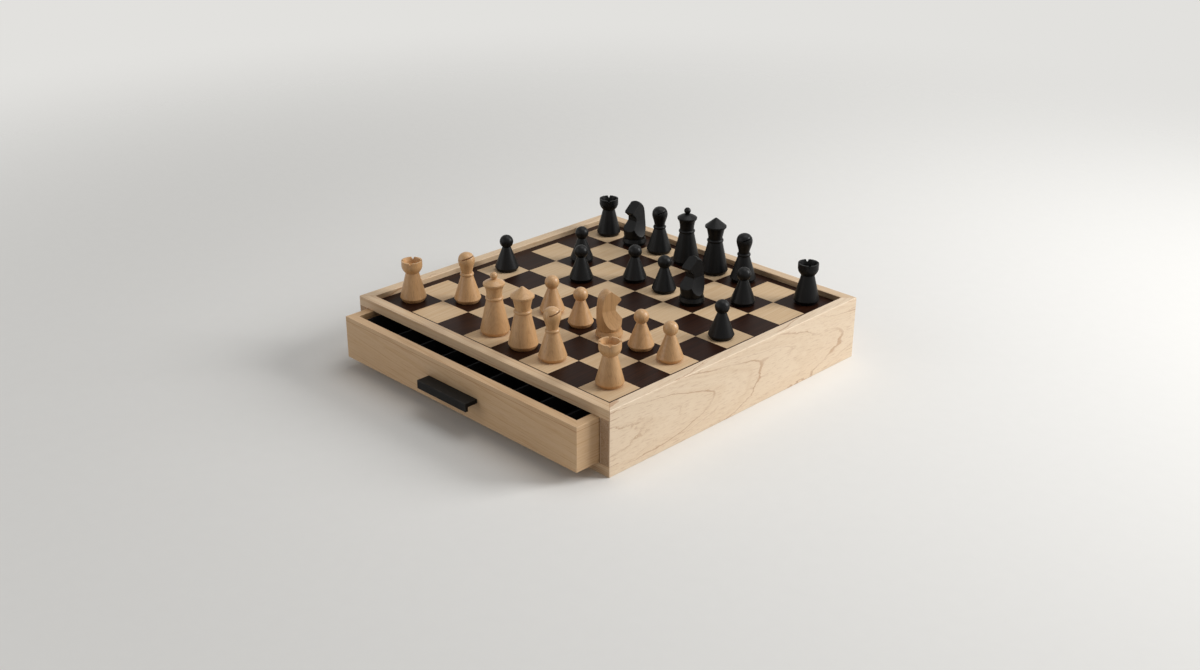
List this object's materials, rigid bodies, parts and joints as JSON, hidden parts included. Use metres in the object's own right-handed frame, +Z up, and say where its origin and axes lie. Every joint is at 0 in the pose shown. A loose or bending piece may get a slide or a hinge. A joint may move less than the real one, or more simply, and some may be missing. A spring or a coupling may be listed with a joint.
{
  "type": "chess box with drawers",
  "caption": "Low square maple chess box: recessed board framed by a rim, shallow lined drawers with bar pulls below, and turned men standing on the board.",
  "frame": {"origin": "centre of the case's underside, on the base board", "axes": "+Z up; X along the faces of the drawers; -Y out of the front drawer, the one shown open"},
  "size_m": [0.406, 0.47, 0.1397],
  "materials": {
    "maple_case": "satin lacquered maple",
    "maple_drawer": "satin lacquered maple",
    "maple_inner": "bare planed maple",
    "plywood": "bare birch plywood",
    "dark_veneer": "satin dark veneer",
    "light_veneer": "satin maple veneer",
    "pale_men": "waxed boxwood",
    "black_men": "black lacquer, satin",
    "black_lining": "black felt",
    "black_handle": "matte black",
    "zinc_screw": "zinc plated"
  },
  "bodies": {
    "case": {"side_panel_left": "maple_case", "side_panel_right": "maple_case", "front_top_rail": "maple_case", "rear_top_rail": "maple_case", "front_bottom_rail": "maple_case", "rear_bottom_rail": "maple_case", "base_board": "plywood", "centre_partition": "maple_inner", "front_drawer_runners": "maple_inner", "rear_drawer_runners": "maple_inner", "board_core": "plywood", "dark_squares": "dark_veneer", "light_squares": "light_veneer", "board_border": "dark_veneer"},
    "front_drawer": {"front_drawer_front": "maple_drawer", "front_drawer_back": "maple_drawer", "front_drawer_left_side": "maple_drawer", "front_drawer_right_side": "maple_drawer", "front_drawer_bottom": "plywood", "front_drawer_lining": "black_lining", "front_drawer_dividers": "black_lining", "front_drawer_handle": "black_handle", "front_drawer_handle_screws": "zinc_screw"},
    "rear_drawer": {"rear_drawer_front": "maple_drawer", "rear_drawer_back": "maple_drawer", "rear_drawer_left_side": "maple_drawer", "rear_drawer_right_side": "maple_drawer", "rear_drawer_bottom": "plywood", "rear_drawer_lining": "black_lining", "rear_drawer_dividers": "black_lining", "rear_drawer_handle": "black_handle", "rear_drawer_handle_screws": "zinc_screw"},
    "white_king": {"white_king": "pale_men"},
    "white_queen": {"white_queen": "pale_men"},
    "white_rook_left": {"white_rook_left": "pale_men"},
    "white_rook_right": {"white_rook_right": "pale_men"},
    "white_bishop_left": {"white_bishop_left": "pale_men"},
    "white_bishop_right": {"white_bishop_right": "pale_men"},
    "white_knight": {"white_knight": "pale_men"},
    "white_pawn_1": {"white_pawn_1": "pale_men"},
    "white_pawn_2": {"white_pawn_2": "pale_men"},
    "white_pawn_3": {"white_pawn_3": "pale_men"},
    "white_pawn_4": {"white_pawn_4": "pale_men"},
    "black_king": {"black_king": "black_men"},
    "black_queen": {"black_queen": "black_men"},
    "black_rook_left": {"black_rook_left": "black_men"},
    "black_rook_right": {"black_rook_right": "black_men"},
    "black_bishop_left": {"black_bishop_left": "black_men"},
    "black_bishop_right": {"black_bishop_right": "black_men"},
    "black_knight_back": {"black_knight_back": "black_men"},
    "black_knight_forward": {"black_knight_forward": "black_men"},
    "black_pawn_1": {"black_pawn_1": "black_men"},
    "black_pawn_2": {"black_pawn_2": "black_men"},
    "black_pawn_3": {"black_pawn_3": "black_men"},
    "black_pawn_4": {"black_pawn_4": "black_men"},
    "black_pawn_5": {"black_pawn_5": "black_men"},
    "black_pawn_6": {"black_pawn_6": "black_men"},
    "black_pawn_7": {"black_pawn_7": "black_men"}
  },
  "joints": [
    {"name": "front_drawer_slide", "type": "slide", "parent": "case", "child": "front_drawer", "axis": [0, -1, 0], "range_m": [-0.031, 0.119]},
    {"name": "rear_drawer_slide", "type": "slide", "parent": "case", "child": "rear_drawer", "axis": [0, 1, 0], "range_m": [0, 0.15]},
    {"name": "white_king_lift", "type": "slide", "parent": "case", "child": "white_king", "axis": [0, 0, 1], "range_m": [0, 0.12]},
    {"name": "white_queen_lift", "type": "slide", "parent": "case", "child": "white_queen", "axis": [0, 0, 1], "range_m": [0, 0.12]},
    {"name": "white_rook_left_lift", "type": "slide", "parent": "case", "child": "white_rook_left", "axis": [0, 0, 1], "range_m": [0, 0.12]},
    {"name": "white_rook_right_lift", "type": "slide", "parent": "case", "child": "white_rook_right", "axis": [0, 0, 1], "range_m": [0, 0.12]},
    {"name": "white_bishop_left_lift", "type": "slide", "parent": "case", "child": "white_bishop_left", "axis": [0, 0, 1], "range_m": [0, 0.12]},
    {"name": "white_bishop_right_lift", "type": "slide", "parent": "case", "child": "white_bishop_right", "axis": [0, 0, 1], "range_m": [0, 0.12]},
    {"name": "white_knight_lift", "type": "slide", "parent": "case", "child": "white_knight", "axis": [0, 0, 1], "range_m": [0, 0.12]},
    {"name": "white_pawn_1_lift", "type": "slide", "parent": "case", "child": "white_pawn_1", "axis": [0, 0, 1], "range_m": [0, 0.12]},
    {"name": "white_pawn_2_lift", "type": "slide", "parent": "case", "child": "white_pawn_2", "axis": [0, 0, 1], "range_m": [0, 0.12]},
    {"name": "white_pawn_3_lift", "type": "slide", "parent": "case", "child": "white_pawn_3", "axis": [0, 0, 1], "range_m": [0, 0.12]},
    {"name": "white_pawn_4_lift", "type": "slide", "parent": "case", "child": "white_pawn_4", "axis": [0, 0, 1], "range_m": [0, 0.12]},
    {"name": "black_king_lift", "type": "slide", "parent": "case", "child": "black_king", "axis": [0, 0, 1], "range_m": [0, 0.12]},
    {"name": "black_queen_lift", "type": "slide", "parent": "case", "child": "black_queen", "axis": [0, 0, 1], "range_m": [0, 0.12]},
    {"name": "black_rook_left_lift", "type": "slide", "parent": "case", "child": "black_rook_left", "axis": [0, 0, 1], "range_m": [0, 0.12]},
    {"name": "black_rook_right_lift", "type": "slide", "parent": "case", "child": "black_rook_right", "axis": [0, 0, 1], "range_m": [0, 0.12]},
    {"name": "black_bishop_left_lift", "type": "slide", "parent": "case", "child": "black_bishop_left", "axis": [0, 0, 1], "range_m": [0, 0.12]},
    {"name": "black_bishop_right_lift", "type": "slide", "parent": "case", "child": "black_bishop_right", "axis": [0, 0, 1], "range_m": [0, 0.12]},
    {"name": "black_knight_back_lift", "type": "slide", "parent": "case", "child": "black_knight_back", "axis": [0, 0, 1], "range_m": [0, 0.12]},
    {"name": "black_knight_forward_lift", "type": "slide", "parent": "case", "child": "black_knight_forward", "axis": [0, 0, 1], "range_m": [0, 0.12]},
    {"name": "black_pawn_1_lift", "type": "slide", "parent": "case", "child": "black_pawn_1", "axis": [0, 0, 1], "range_m": [0, 0.12]},
    {"name": "black_pawn_2_lift", "type": "slide", "parent": "case", "child": "black_pawn_2", "axis": [0, 0, 1], "range_m": [0, 0.12]},
    {"name": "black_pawn_3_lift", "type": "slide", "parent": "case", "child": "black_pawn_3", "axis": [0, 0, 1], "range_m": [0, 0.12]},
    {"name": "black_pawn_4_lift", "type": "slide", "parent": "case", "child": "black_pawn_4", "axis": [0, 0, 1], "range_m": [0, 0.12]},
    {"name": "black_pawn_5_lift", "type": "slide", "parent": "case", "child": "black_pawn_5", "axis": [0, 0, 1], "range_m": [0, 0.12]},
    {"name": "black_pawn_6_lift", "type": "slide", "parent": "case", "child": "black_pawn_6", "axis": [0, 0, 1], "range_m": [0, 0.12]},
    {"name": "black_pawn_7_lift", "type": "slide", "parent": "case", "child": "black_pawn_7", "axis": [0, 0, 1], "range_m": [0, 0.12]}
  ]
}
